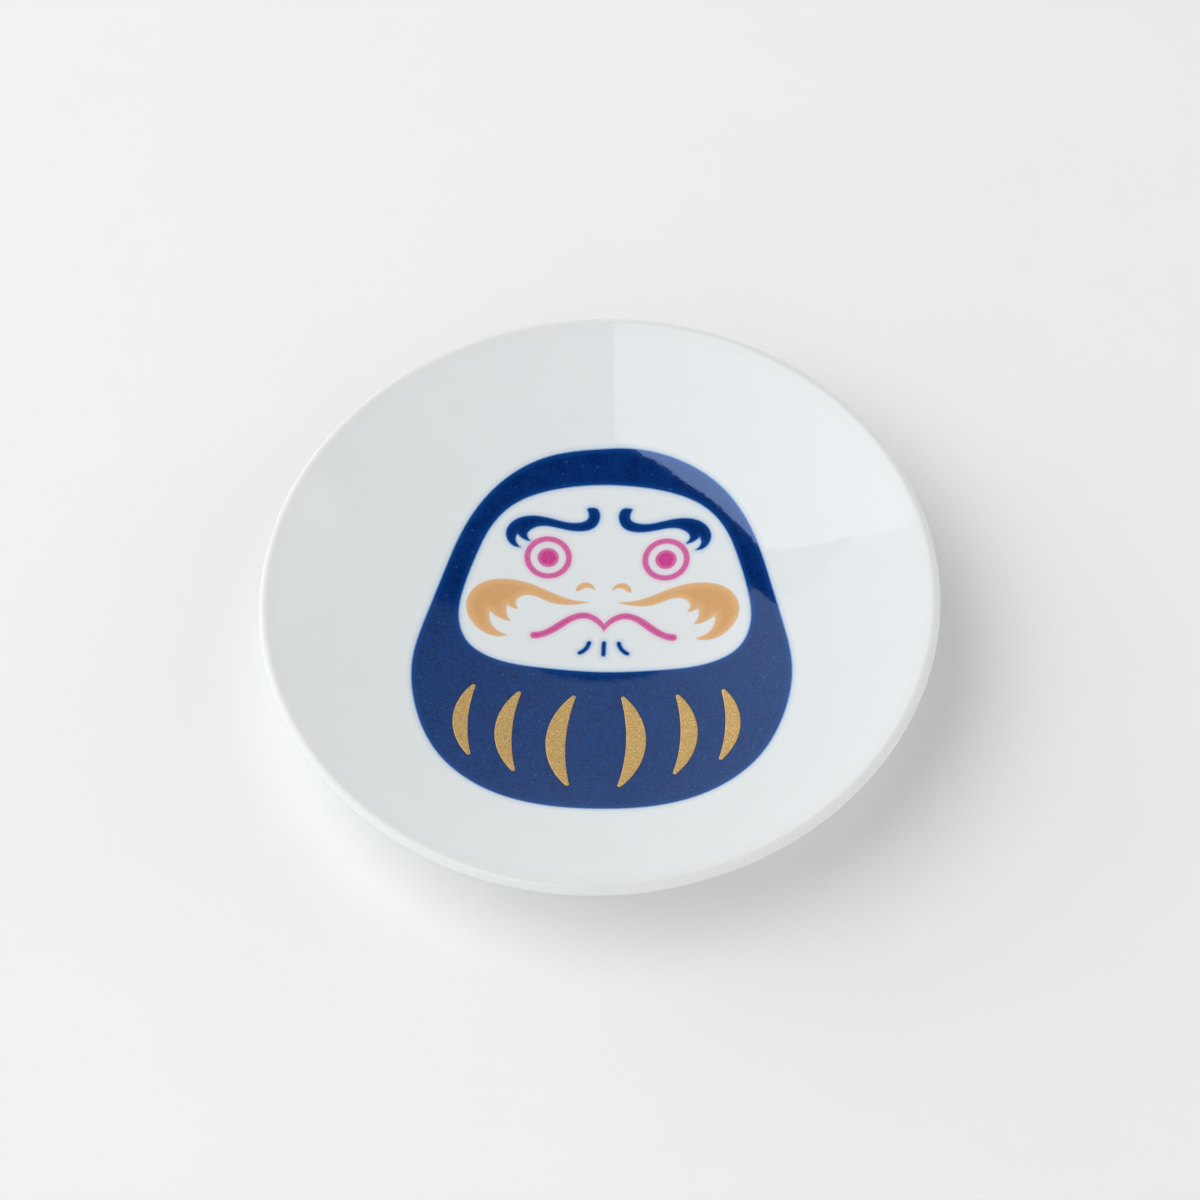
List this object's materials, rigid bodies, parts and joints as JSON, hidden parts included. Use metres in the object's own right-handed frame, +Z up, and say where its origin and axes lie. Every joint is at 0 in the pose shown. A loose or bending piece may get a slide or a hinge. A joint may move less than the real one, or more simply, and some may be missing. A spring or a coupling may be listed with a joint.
{
  "type": "small round porcelain dish with a daruma print",
  "caption": "Small round shallow porcelain dish on a foot ring, white glazed, with a blue daruma with pink eyes, ochre moustache and gold robe folds printed in its well.",
  "frame": {"origin": "centre of the circle that the foot ring stands on, on the table plane", "axes": "+Z up along the dish's axis, +Y towards the crown of the printed figure, +X to the right as the figure is seen upright from above"},
  "size_m": [0.1, 0.1, 0.017],
  "materials": {
    "porcelain": "unglazed fired porcelain, matt and fine-grained",
    "clear_glaze": "clear glossy glaze over white porcelain",
    "cobalt_print": "cobalt blue colour sunk into the glossy glaze",
    "pink_print": "pink colour sunk into the glossy glaze",
    "ochre_print": "ochre colour sunk into the glossy glaze",
    "gold_print": "fired overglaze gold lustre, satin and slightly grainy"
  },
  "bodies": {
    "root": {"porcelain_body": "porcelain", "glaze_coat_main": "clear_glaze", "glaze_coat_base": "clear_glaze", "robe_blue": "cobalt_print", "brow_left": "cobalt_print", "brow_right": "cobalt_print", "chin_mark_left": "cobalt_print", "chin_mark_centre": "cobalt_print", "chin_mark_right": "cobalt_print", "eye_ring_left": "pink_print", "eye_ring_right": "pink_print", "pupil_left": "pink_print", "pupil_right": "pink_print", "mouth_line": "pink_print", "moustache_left": "ochre_print", "moustache_right": "ochre_print", "nose_mark_left": "ochre_print", "nose_mark_right": "ochre_print", "gold_fold_1": "gold_print", "gold_fold_2": "gold_print", "gold_fold_3": "gold_print", "gold_fold_4": "gold_print", "gold_fold_5": "gold_print", "gold_fold_6": "gold_print"}
  },
  "joints": []
}
